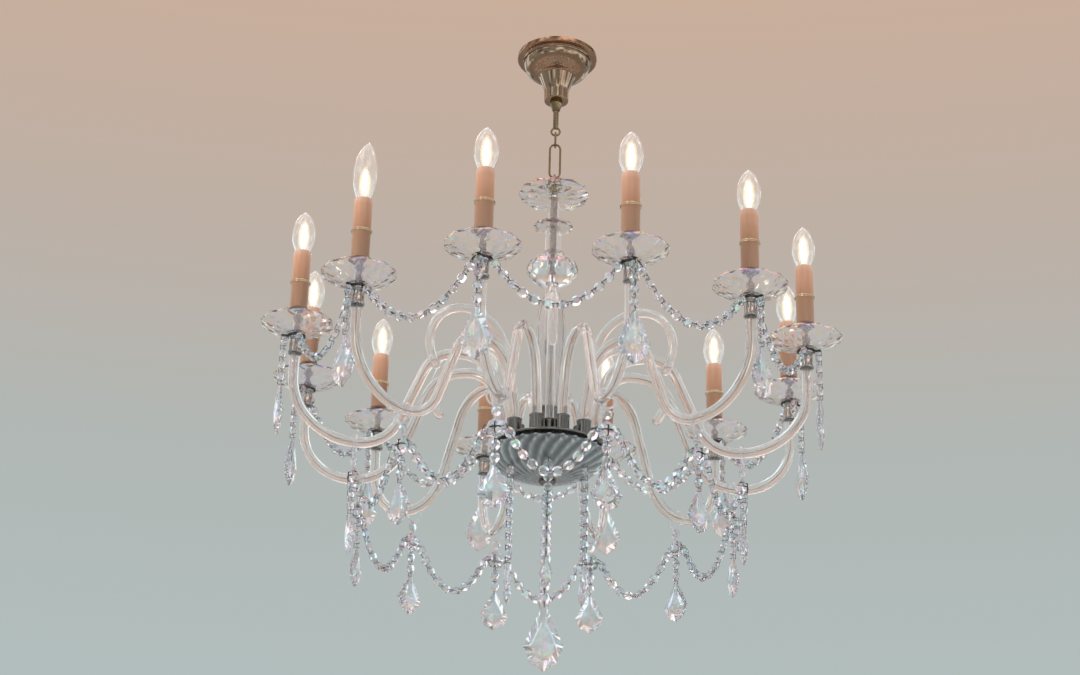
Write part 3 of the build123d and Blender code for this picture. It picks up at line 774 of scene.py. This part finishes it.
crook_reach, crook_bend = 138, 64
crook_line = [(crook_circle, 0, tube_foot), (crook_circle, 0, cup_top - 90)]
for step in range(52):
    angle = radians(170 - 210 * step / 52)
    crook_line.append((crook_reach + crook_bend * cos(angle), 0, cup_top + crook_bend * sin(angle)))
crook = bent(crook_line, crook_radius, 20, melted=True)
round_ring("glass_crooks", crook, clear_glass, "clear_glass", "crooks", count=crook_count, first=front)

# ---------------- candle cups and dishes
# A turned nickel ferrule closes each arm, and a cut-glass drip dish lies on its black flange.
# Pins in the flange carry the swags and, on an outward lug, the pendant.


def stacked(outline, levels):
    """Solid with flat ends: a (y, z) outline at each level of (x, share of the outline)."""
    points = [(x, y * share, z * share) for x, share in levels for y, z in outline]
    count, last = len(outline), len(points) - len(outline)
    faces = [tuple(range(count)), tuple(range(last, last + count))]
    for level in range(0, last, count):
        for side in range(count):
            here, there = level + side, level + (side + 1) % count
            faces.append((here, there, there + count, here + count))
    return from_points(points, faces)


foot, top = sizes("candle_cups")[:2]
flange_radius, flange_low = 13.4, top - 3
ferrule_radius, arm_hole = 9.2, arm_radius + 0.35
cup_profile = [
    (arm_hole, foot), (ferrule_radius + 1, foot), *arc((ferrule_radius + 0.4, foot + 1.6), 1, -40, 60, 4),
    (ferrule_radius, foot + 3.4), (ferrule_radius, flange_low - 7),
    (ferrule_radius - 0.9, flange_low - 5.5), (ferrule_radius, flange_low - 4),
    (ferrule_radius + 1.6, flange_low - 0.8), (ferrule_radius + 1.6, flange_low), (0, flange_low),
    (0, flange_low - 5), (arm_hole, flange_low - 5),
]
polished = metal("polished_nickel", (0.56, 0.54, 0.51), (0.42, 0.40, 0.38), 0.10)
on_cups("candle_cups_turned", turned(cup_profile, 40), polished, "dark_nickel", "candle_cups")
flange_profile = [
    (0, flange_low), (flange_radius - 0.6, flange_low), (flange_radius, flange_low + 0.6),
    (flange_radius, top - 0.5), (flange_radius - 0.6, top), (0, top),
]
lug_half, lug_low, lug_high = 2.2, flange_low + 0.8, top - 0.9
lug_end = [(-lug_half, lug_low), (lug_half, lug_low), (lug_half, lug_high), (-lug_half, lug_high)]
lug = stacked(lug_end, ((flange_radius - 2, 1), (21, 1)))
flange = joined([turned(flange_profile, 40), lug])
blackened = metal("blackened_steel", (0.12, 0.11, 0.105), (0.07, 0.065, 0.06), 0.25)
on_cups("cup_flanges", flange, blackened, "dark_nickel", "candle_cups")

foot, top = sizes("bobeches")[:2]
bobeche_radius, bobeche_tall = 53.2, top - foot
spindle_hole = 7.3
bobeche_line = [
    (spindle_hole, 0), (15, 0), (22, 2.2), (32, 6.4), (43, 11.8),
    (bobeche_radius - 0.6, bobeche_tall - 3.6), (bobeche_radius, bobeche_tall - 1.8),
    (bobeche_radius - 1.2, bobeche_tall - 0.3), (43, 15.4), (32, 10), (22, 5.8), (15, 3.6),
]
bobeche_profile = placed(bobeche_line + [(spindle_hole, 3.4)], foot)
bobeche = turned(bobeche_profile, 24, None, petals(12, 0.03, bobeche_radius, 0.7))
on_cups("bobeches_cut", bobeche, cut_glass, "cut_glass", "bobeches")

foot, top = sizes("spindles")[:2]
nipple_radius, spindle_radius = 4.4, 6.9
spindle_line = [
    (0.86, 0), (0.96, 0.04), (0.96, 0.34), (0.86, 0.42), (0.80, 0.60), (0.86, 0.84), (0.97, 0.95),
    (0.92, 1),
]
spindle = turned(bored(spindle_line, foot, top, spindle_radius, nipple_radius + 0.4), 32)
on_cups("spindles_drawn", spindle, clear_glass, "clear_glass", "spindles")
rib_count = 12
rib_tall = (top - foot) / rib_count
nipple_profile = [(0, foot)]
for rib in range(rib_count):
    nipple_profile += placed([(1, 0), (1, 0.6), (0.8, 0.8)], foot + rib * rib_tall, nipple_radius, rib_tall)
nipple_profile += [(nipple_radius, top), (0, top)]
on_cups("candle_nipples", turned(nipple_profile, 20), blackened, "dark_nickel")

# ---------------- candle sleeves and rings
# A plain ivory tube slips over the lamp holder as a candle. It lets a little light through, and its colour
# is painted lighter towards the top, a painted glow of the bulb above. A thin gilt ring sits round it.

sleeve_low, sleeve_high = sizes("candle_sleeves")[:2]


def candle_tube():
    """Ivory plastic: warm, slightly milky, with faint streaks down the tube, and a painted glow of the bulb
    that lightens its colour towards the top.
    """
    material = new_material("ivory_candle_tube")
    tree = material.node_tree
    place = place_on(material)
    streaks = noise(add(tree, "ShaderNodeMapping", {"Vector": place, "Scale": (1, 1, 0.12)})[0], 160)
    height = add(tree, "ShaderNodeSeparateXYZ", {0: place})["Z"]
    # Painted glow: the tube's colour grows lighter and warmer towards the top, as the bulb's light would make
    # it.
    painted_top_glow = ramp(remap(height, sleeve_low * mm, sleeve_high * mm), (
        (0, (0.42, 0.25, 0.16)), (0.42, (0.44, 0.245, 0.155)), (0.50, (0.54, 0.285, 0.175)),
        (0.88, (0.72, 0.40, 0.265)), (1, (0.86, 0.56, 0.42)),
    ))
    streak_tones = ramp(streaks, ((0.3, (0.90, 0.88, 0.86)), (0.7, (1, 1, 1))))
    feed(shader_of(material), {
        "Base Color": mix(tree, 1, painted_top_glow, streak_tones, "MULTIPLY"),
        "Subsurface Weight": 0.25,
        "Subsurface Radius": (1, 0.45, 0.25),
        "Subsurface Scale": 4 * mm,
        "Sheen Weight": 0.8,
        "Sheen Roughness": 0.35,
        "Sheen Tint": (1, 0.84, 0.76, 1),
        "Roughness": remap(streaks, 0, 1, 0.34, 0.5),
        "Normal": bumps(streaks, 0.12, 0.2 * mm),
    })
    return material


sleeve_radius, sleeve_bore = 13, 11.4
sleeve_profile = [
    (0, sleeve_low), (sleeve_radius - 0.8, sleeve_low), (sleeve_radius, sleeve_low + 0.8),
    (sleeve_radius, sleeve_high - 0.8), (sleeve_radius - 0.8, sleeve_high),
    (sleeve_bore, sleeve_high - 0.6), (sleeve_bore, sleeve_low + 2), (0, sleeve_low + 2),
]
on_cups("candle_sleeves_ivory", turned(sleeve_profile, 40), candle_tube(), "candle_plastic", "candle_sleeves")
holder_white = metal("holder_white", (0.7, 0.69, 0.66), (0.62, 0.61, 0.58), 0.4)
feed(shader_of(holder_white), {"Metallic": 0})
refinish("lamp_holders", holder_white)

ring_height = sleeve_low + 0.46 * (sleeve_high - sleeve_low)
ring_edge = [(0.1, -2), (0.7, -2), (0.7, -0.5), (1.9, -0.4)]
ring_line = [*ring_edge, (2.3, 0), *[(out, -up) for out, up in ring_edge[::-1]]]
candle_ring = turned([(sleeve_radius + out, ring_height + up) for out, up in ring_line], 40)
on_cups("candle_rings", candle_ring, gilt, "gilt_metal")

# ---------------- bulbs
# Clear candle bulbs with upright glowing filaments round a small glass mount. One of them,
# left of the front, has the longer flame tip.

foot, top = sizes("bulbs")[:2]
bulb_glass = glass("bulb_glass", [(1, 1, 1), (1, 0.985, 0.96)], 0.01, 0.05, 12 * mm, 1.45)
# The faint emission on all bulb glass is a painted glow of the filaments' light in the glass.
feed(shader_of(bulb_glass), {"Emission Color": (1, 0.95, 0.88, 1), "Emission Strength": 0.035})
neck_height = sleeve_high - 3
envelope_tall, envelope_skin = top - neck_height, 0.8
envelope_line = [
    (9.2, 0), (9.8, 0.04), (12.2, 0.12), (14.9, 0.22), (16.8, 0.32), (17.5, 0.42), (17.4, 0.52),
    (16.4, 0.62), (14.4, 0.72), (11.2, 0.82), (7.2, 0.90), (3.6, 0.95), (1.7, 0.975), (1.2, 0.99), (0, 1),
]


def envelope(tall, lean=0):
    """Blown bulb with a thin wall, its upper part drawn sideways by lean."""
    outer = placed(envelope_line, neck_height, 1, tall)
    inner = [(max(0, r - envelope_skin), neck_height + z * tall - (envelope_skin if z == 1 else 0))
             for r, z in envelope_line if r > 2 or z == 1]
    mesh = turned(outer + inner[::-1], 36, 60)
    for point in mesh.vertices:
        share = max(0, (point.co.z - neck_height) / tall - 0.55) / 0.45
        point.co.y += lean * share ** 2
    return mesh


flame_arm = 10
on_cups("bulbs_clear", envelope(envelope_tall), bulb_glass, "bulb_glass", "bulbs", left_out=flame_arm)
flame_bulb = moved(envelope(envelope_tall + 24, 5), cup_circle)
flame_bulb.transform(Matrix.Rotation(first_arm + flame_arm * tau / arm_count, 4, "Z"))
piece("bulb_flame_tip", flame_bulb, bulb_glass, "bulb_glass")

filament_glow = new_material("filament_glow")
glow_cloud = noise(place_on(filament_glow), 500)
feed(shader_of(filament_glow), {
    "Base Color": (1, 0.9, 0.7, 1),
    "Emission Color": mix(filament_glow.node_tree, glow_cloud, (1, 0.80, 0.56, 1), (1, 0.90, 0.74, 1)),
    "Emission Strength": 3,
})
filament_low, filament_tall = neck_height + 0.16 * envelope_tall, 0.54 * envelope_tall
filament_count = 4
filament_bow = [(2.2, 0), (3.4, 0.3), (3.6, 0.5), (3, 0.75), (1.4, 1)]
filament_line = placed(filament_bow, filament_low, 1, filament_tall)
filaments = []
for index in range(filament_count):
    angle = tau * index / filament_count
    filaments.append(bent([(r * cos(angle), r * sin(angle), z) for r, z in filament_line], 0.6, 8))
on_cups("bulb_filaments", joined(filaments), filament_glow, "bulb_glass")
halo_glow = filament_glow.copy()
halo_glow.name = "filament_halo"
feed(shader_of(halo_glow), {"Alpha": 0.12, "Emission Strength": 0.9})
halo_line = [
    (0, -0.56), (2, -0.5), (3.6, -0.38), (4.6, -0.2), (4.9, 0), (4.4, 0.2), (3, 0.4), (1.5, 0.53),
    (0, 0.58),
]
halos = []
for spread in (1, 1.35, 1.75):
    stretch = (0.7 + 0.3 * spread) * filament_tall
    halos.append(turned(placed(halo_line, filament_low + filament_tall / 2, spread, stretch), 20, 60))
on_cups("bulb_halos", joined(halos), halo_glow, "bulb_glass")
mount_profile = [
    (0, neck_height), (5.5, neck_height), (4.2, filament_low - 4), (2.2, filament_low),
    (1.4, filament_low + 10), (0, filament_low + 11),
]
on_cups("bulb_mounts", turned(mount_profile, 20), bulb_glass, "bulb_glass")
cap_profile = [
    (0, foot), (5.5, foot), (6.5, foot + 2), (6.5, neck_height - 1), (9, neck_height), (0, neck_height),
]
on_cups("bulb_caps", turned(cap_profile, 24), nickel, "dark_nickel")

# ---------------- bowl under the plate
# A pressed glass bowl with slanting flutes hides the wiring. It hangs on the rod by a
# turned nut, and the centre pendant hangs from that nut.

bowl_foot, bowl_top, bowl_radius = sizes("bowl")
bowl_tall = bowl_top - bowl_foot
bowl_wall = 4
bowl_flutes, bowl_swirl = 28, 4
bowl_line = [
    (rod_hole / bowl_radius, 0), (0.26, 0), (0.45, 0.11), (0.66, 0.27), (0.80, 0.43), (0.90, 0.61),
    (0.955, 0.78), (0.98, 0.93), (0.985, 1),
]
bowl_outside = placed(bowl_line, bowl_foot, bowl_radius, bowl_tall)
bowl_inside = [(max(rod_hole, radius - bowl_wall), height + bowl_wall * 0.9)
               for radius, height in bowl_outside if height < bowl_top - 0.2 * bowl_tall]
bowl_inside += [(bowl_outside[-1][0] - bowl_wall, bowl_top)]


def flute_hollow(angle, height):
    """How deep a point lies in its slanting flute, from 0 on the ridge to 1."""
    climb = (height - bowl_foot) / bowl_tall
    return abs(sin(bowl_flutes * angle / 2 + bowl_swirl * pi * climb))


def slanting_flutes(angle, radius, height, index):
    """Flutes that turn as they climb the bowl."""
    outer = index < len(bowl_outside)
    depth = 0.06 * min(1, radius / (0.5 * bowl_radius)) if outer and radius > 1.1 * rod_hole else 0
    return radius * (1 - depth * flute_hollow(angle, height)), height


bowl = turned(bowl_outside + bowl_inside[::-1], 168, 24, slanting_flutes)
hollows = [flute_hollow(atan2(point.co.y, point.co.x), point.co.z) for point in bowl.vertices]
bowl.attributes.new("flute", "FLOAT", "POINT").data.foreach_set("value", hollows)
bowl_glass = glass("bowl_glass", [(0.9, 0.95, 1), (1, 1, 1)], 0.06, 0.1, 6 * mm, 1.6, coat=1, clear=0.4)
# Painted shade and highlight: the glass is painted dark in the flute hollows and pale on the ridges, as
# reflection and shade would fall on them.
painted_flute_shade = add(bowl_glass.node_tree, "ShaderNodeAttribute", attribute_name="flute")["Fac"]
feed(shader_of(bowl_glass), {"Base Color": ramp(painted_flute_shade, (
    (0, (0.86, 0.93, 0.95)), (0.25, (0.60, 0.69, 0.71)), (0.6, (0.29, 0.35, 0.37)), (1, (0.14, 0.18, 0.19)),
))})
piece("bowl_pressed", bowl, bowl_glass, "bowl_glass", "bowl")

foot, top, radius = sizes("bowl_nut")
nut_line = [
    (0, 0), (0.30, 0), (0.46, 0.10), (0.60, 0.30), (0.92, 0.50), (1, 0.62), (1, 0.90), (0.94, 1), (0, 1),
]
nut = turned(placed(nut_line, foot, 0.97 * radius, top - foot), 32)
piece("bowl_nut_turned", nut, nickel, "dark_nickel", "bowl_nut")

# ---------------- strung crystal
# Polished octagon stones with two holes each are joined by short bent pins of dark wire.
# Swags hang in a curve from cup to cup and from rosette to rosette.

crystal_tints = [(1, 0.94, 0.94), (1, 1, 1), (0.91, 0.94, 1), (0.97, 0.98, 1)]
crystal = glass("crystal", crystal_tints, 0.01, 0.05, 5 * mm, 1.52, (280, 420), clear=0.88)
pin_wire = metal("dark_pin_wire", (0.07, 0.06, 0.05), (0.035, 0.03, 0.027), 0.35)


def octagon_stone(width, length, depth, table=0.62):
    """Octagon stone, long in Z, with a flat table on both faces and a thin girdle."""
    turns = [tau * (side + 0.5) / 8 for side in range(8)]
    corners = [(cos(turn) / cos(pi / 8) * width / 2, sin(turn) / cos(pi / 8) * length / 2) for turn in turns]
    return stacked(corners, ((-depth / 2, table), (-0.08 * depth, 1), (0.08 * depth, 1), (depth / 2, table)))


def pin(length, face=4.1, radius=0.48):
    """Bent pin along Z that joins two stones: it lies on their face and goes through their holes."""
    half = length / 2
    return bent([(-face, 0, -half), (face, 0, -half), (face, 0, half), (-face, 0, half)], radius, 6)


def strand_array():
    """Geometry Nodes tree that hangs a swag of stones or pins and repeats it round the axis."""
    tree, given = new_tree("strand_array", stone="Geometry", start="Vector", middle="Vector", end="Vector",
                           places="Int", odd="Int", twist="Float", strands="Int", first_turn="Float",
                           finish="Material")
    ends = {"Start": given["start"], "Middle": given["middle"], "End": given["end"]}
    drape = add(tree, "GeometryNodeCurveQuadraticBezier", {**ends, "Resolution": 64})[0]
    knots = add(tree, "GeometryNodeResampleCurve", {"Curve": drape, "Count": given["places"]})[0]
    parity = maths(tree, "MODULO", add(tree, "GeometryNodeInputIndex")[0], 2)
    wanted = maths(tree, "COMPARE", parity, given["odd"], 0.1)
    way = add(tree, "GeometryNodeInputTangent")[0]
    lined = add(tree, "FunctionNodeAlignRotationToVector", {"Vector": way}, axis="Z")[0]
    spins = {2: maths(tree, "MULTIPLY", given["twist"], -1), 3: given["twist"], "Seed": 7}
    spin = add(tree, "FunctionNodeRandomValue", spins, data_type="FLOAT")[1]
    about = add(tree, "FunctionNodeAxisAngleToRotation", {"Axis": (0, 0, 1), "Angle": spin})[0]
    stones = add(tree, "GeometryNodeInstanceOnPoints", {
        "Points": knots,
        "Instance": given["stone"],
        "Selection": wanted,
        "Rotation": add(tree, "FunctionNodeRotateRotation", {"Rotation": lined, "Rotate By": about},
                        rotation_space="LOCAL")[0],
    })[0]
    ring = add(tree, "GeometryNodeGroup", {
        "piece": stones,
        "count": given["strands"],
        "first_turn": given["first_turn"],
        "left_out": -1,
        "finish": given["finish"],
    }, node_tree=ring_tree)[0]
    return ended(tree, ring, given["finish"])


strand_tree = strand_array()


def swags(node, circle, reach, height, sag, count):
    """Twelve swags of stones and their pins between hangers on one circle."""
    half = pi / arm_count
    half_span = circle * sin(half) - reach * cos(half)
    out = circle * cos(half) + reach * sin(half)
    common = dict(
        start=(out, -half_span, height), middle=(out, 0, height - 2 * sag), end=(out, half_span, height),
        places=2 * count + 1, strands=arm_count, first_turn=front)
    stone = octagon_stone(13.4, 16.2, 7.8)
    stones = grown(stone, strand_tree, odd=1, twist=radians(28), finish=crystal, **common)
    piece(node + "_stones", stones, crystal, "crystal", node)
    pins = grown(pin(8.5), strand_tree, odd=0, twist=0.0, finish=pin_wire, **common)
    piece(node + "_pins", pins, pin_wire, "bronzed_steel")


swags("upper_swags", cup_circle, 12.8, cup_top - 1.5, 65, 12)
rosette_circle, rosette_radius = 285, 15
rosettes_low, rosettes_high = sizes("rosettes")[:2]
rosette_middle = (rosettes_low + rosettes_high) / 2
swags("lower_swags", rosette_circle, rosette_radius + 0.4, rosette_middle, 62, 10)

# ---------------- arm rings and rosettes
# A clear glass ring hangs round the bottom of each arm. A stone under it carries the
# rosette, which a cross of dark pins holds on its outer face.

arm_ring_radius, arm_ring_wire = 14.6, 1.4
ring_hanger = rosettes_high + 18.3
ring_turns = [tau * step / 32 for step in range(32)]
ring_line = [(rosette_circle, arm_ring_radius * sin(turn), ring_hanger + arm_ring_radius * (1 + cos(turn)))
             for turn in ring_turns]
arm_ring = bent(ring_line, arm_ring_wire, 10, closed=True)
round_ring("arm_rings_glass", arm_ring, crystal, "crystal", "arm_rings")
hanger_stone = moved(octagon_stone(13.4, 15.2, 7.8), rosette_circle, ring_hanger - 9.2)
round_ring("ring_stones", hanger_stone, crystal, "crystal")


def rosette_stone(petals=8):
    """Round stone with petals and a flat table, facing outwards along +X."""
    corners = []
    for side in range(2 * petals):
        radius = rosette_radius * (1 if side % 2 else 0.90)
        turn = pi * (side + 1) / petals
        corners.append((radius * cos(turn), radius * sin(turn)))
    return stacked(corners, ((-5.6, 0.25), (-2, 0.80), (0, 1), (2, 0.80), (5, 0.42), (5.9, 0.20)))


rosette = moved(rosette_stone(), rosette_circle, rosette_middle)
round_ring("rosettes_cut", rosette, crystal, "crystal", "rosettes")
cross_arms = []
for quarter in range(4):
    across, up = cos(quarter * pi / 2), sin(quarter * pi / 2)
    route = [(6.8, 0, 0), (6.6, 6.4 * across, 6.4 * up), (1.5, 7.6 * across, 7.6 * up)]
    cross_arms.append(bent(route, 0.9, 8))
cross = moved(joined(cross_arms), rosette_circle, rosette_middle)
round_ring("rosette_crosses", cross, pin_wire, "bronzed_steel")

# ---------------- pendants
# Stones on pins end in a pear-shaped drop with notched edges and large flat facets. Each
# pendant hangs free on its own hook, so each is a body of its own.


def pear_drop(width, length, depth, notches=7, nick=0.93):
    """Pear-shaped drop that hangs from its top at the origin, flat facets on both faces."""
    corners = [(0.02, 0), (0.27, 0.30), (0.495, 0.62), (0.33, 0.86), (0, 0.995)]
    edge = [(y * width, -z * length) for y, z in corners + [(-y, z) for y, z in corners[-2::-1]]]
    count = len(edge)
    starts, girdle = [], []
    for index, (y, z) in enumerate(edge):
        next_y, next_z = edge[(index + 1) % count]
        starts.append(len(girdle))
        parts = notches if index < count - 1 else 1
        for step in range(parts):
            share = step / parts
            girdle.append(((y + (next_y - y) * share) * (nick if step % 2 else 1), z + (next_z - z) * share))
    rim = len(girdle)
    points = [(x, y, z) for x in (-0.09 * depth, 0.09 * depth) for y, z in girdle]
    faces = [(step, (step + 1) % rim, rim + (step + 1) % rim, rim + step) for step in range(rim)]
    middle = -0.58 * length
    table = 0.55
    for side, first in ((-1, 0), (1, rim)):
        inner = len(points)
        apex = inner + count
        points += [(side * 0.40 * depth, y * table, middle + (z - middle) * table) for y, z in edge]
        points.append((side * 0.5 * depth, 0, middle))
        for index in range(count):
            after = (index + 1) % count
            stop = starts[after] if after else rim
            run = [first + step % rim for step in range(starts[index], stop + 1)]
            faces += [(low, high, inner + index) for low, high in zip(run, run[1:])]
            faces += [(run[-1], inner + after, inner + index), (inner + index, inner + after, apex)]
    return from_points(points, faces)


hook_gap, pin_length = 0.3, 7


def hanging(beads, bead_size, drop_size):
    """Straight strand of stones with a drop at its end, hung from the origin, and its pins."""
    pitch = bead_size[1] + 0.4
    stones, pins = [], []
    for index in range(beads):
        stone = octagon_stone(0.96 * bead_size[0], 0.93 * bead_size[1], 0.98 * bead_size[2])
        stones.append(moved(stone, 0, -hook_gap - index * pitch - bead_size[1] / 2))
    for index in range(beads + 1):
        lowered = 0 if index else pin_length / 2
        pins.append(moved(pin(pin_length), 0, -hook_gap - index * pitch - lowered))
    drop = moved(pear_drop(*drop_size), 0, -hook_gap - beads * pitch)
    return joined(stones + [drop]), joined(pins)


bead_size = (14, 17.6, 8)
for kind, circle, beads, drop_size in (
    ("upper_pendant", cup_circle + 17.5, 4, (47, 80, 13)),
    ("lower_pendant", rosette_circle, 2, (46, 63, 13)),
):
    stones, pins = hanging(beads, bead_size, drop_size)
    for index in range(arm_count):
        node = f"{kind}_{index + 1:02d}"
        spot = Matrix.Rotation(first_arm + index * tau / arm_count, 4, "Z")
        spot = spot @ Matrix.Translation((circle, 0, sizes(node)[1] + hook_gap))
        own_stones, own_pins = stones.copy(), pins.copy()
        own_stones.transform(spot)
        own_pins.transform(spot)
        piece(node + "_stones", own_stones, crystal, "crystal", node, body=node)
        piece(node + "_pins", own_pins, pin_wire, "bronzed_steel", body=node)

stones, pins = hanging(9, (16, 19.2, 10), (58, 98, 20))
for mesh in (stones, pins):
    mesh.transform(Matrix.Rotation(front, 4, "Z"))
    moved(mesh, 0, sizes("centre_pendant")[1] + hook_gap)
piece("centre_pendant_stones", stones, crystal, "crystal", "centre_pendant", body="centre_pendant")
piece("centre_pendant_pins", pins, pin_wire, "bronzed_steel", body="centre_pendant")

strand_circle, strand_count = 62, 6
stones, pins = hanging(8, bead_size, (20, 46, 9))
for mesh in (stones, pins):
    moved(mesh, strand_circle, sizes("bowl_strands")[1] + hook_gap)
round_ring("bowl_strands_stones", stones, crystal, "crystal", "bowl_strands", count=strand_count, first=front)
round_ring("bowl_strands_pins", pins, pin_wire, "bronzed_steel", count=strand_count, first=front)
